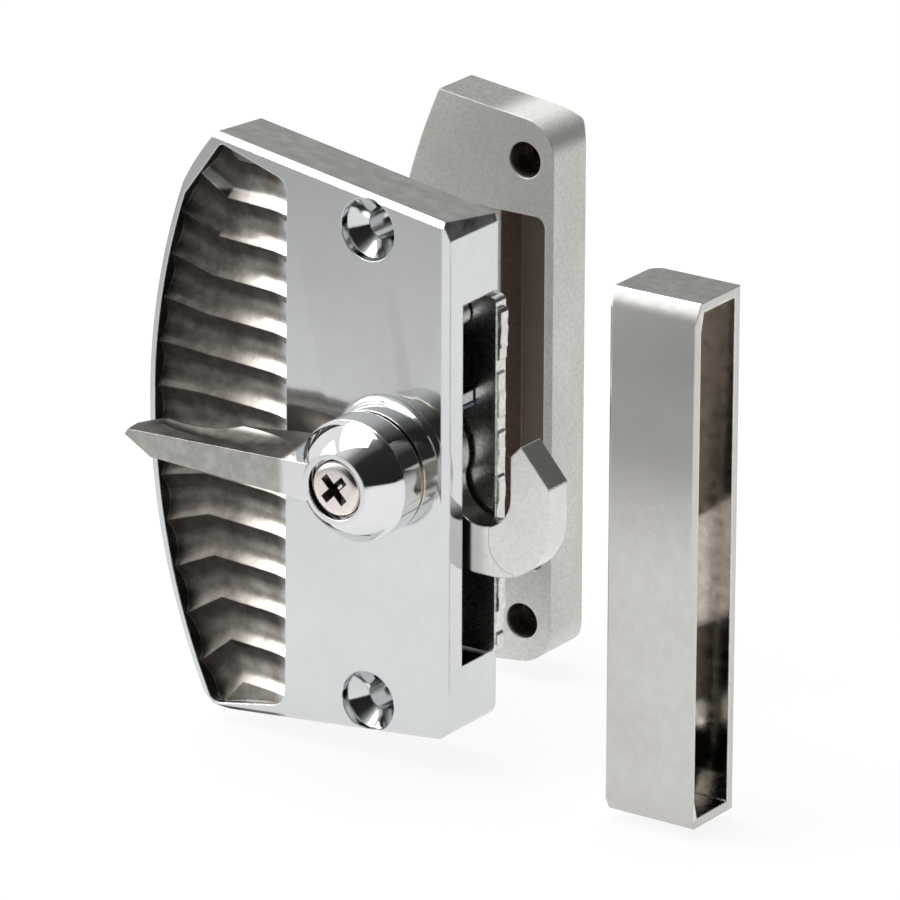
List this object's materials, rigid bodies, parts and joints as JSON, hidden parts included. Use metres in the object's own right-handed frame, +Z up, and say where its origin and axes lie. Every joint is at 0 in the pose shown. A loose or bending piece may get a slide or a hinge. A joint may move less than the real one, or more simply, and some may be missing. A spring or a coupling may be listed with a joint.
{
  "type": "sliding screen door latch",
  "caption": "Sliding screen door latch: a fluted inside pull with a thumb turn and hook bolt, an outside pull on the door's far face, and a box keeper for the jamb.",
  "frame": {"origin": "where the hook's turning axis meets the door's inside face, which is the back of the inside casting", "axes": "+X along the door's travel towards the keeper, +Y into the door, square to its faces, +Z up"},
  "size_m": [0.0919, 0.062, 0.0879],
  "materials": {
    "chrome_casting": "satin chrome on a zinc casting",
    "chrome_turn": "satin chrome on a zinc casting, brighter than the case",
    "raw_casting": "bare zinc casting with a trimmed edge",
    "plated_steel": "zinc plated steel",
    "dark_steel": "darkened spring steel",
    "bronze": "golden spring bronze",
    "nylon": "natural nylon",
    "hook_steel": "satin nickel plated casting",
    "spring_steel": "blued spring steel",
    "grey_casting": "matte grey zinc casting as cast",
    "keeper_casting": "satin chrome on a zinc casting"
  },
  "bodies": {
    "lock_base": {"front_casting": "chrome_casting", "back_plate": "raw_casting", "plate_screws": "plated_steel", "detent_spring": "spring_steel", "rear_pull": "grey_casting", "keeper": "keeper_casting"},
    "latch_turn": {"thumb_turn": "chrome_turn", "knob_screw": "plated_steel", "lock_washer": "dark_steel", "wave_washer": "bronze", "spindle": "plated_steel", "thrust_washer": "nylon", "hook": "hook_steel"}
  },
  "joints": [
    {"name": "hook_turn", "type": "hinge", "parent": "lock_base", "child": "latch_turn", "pos_m": [0, 0, 0], "axis": [0, 1, 0], "range_deg": [0, 90]}
  ]
}
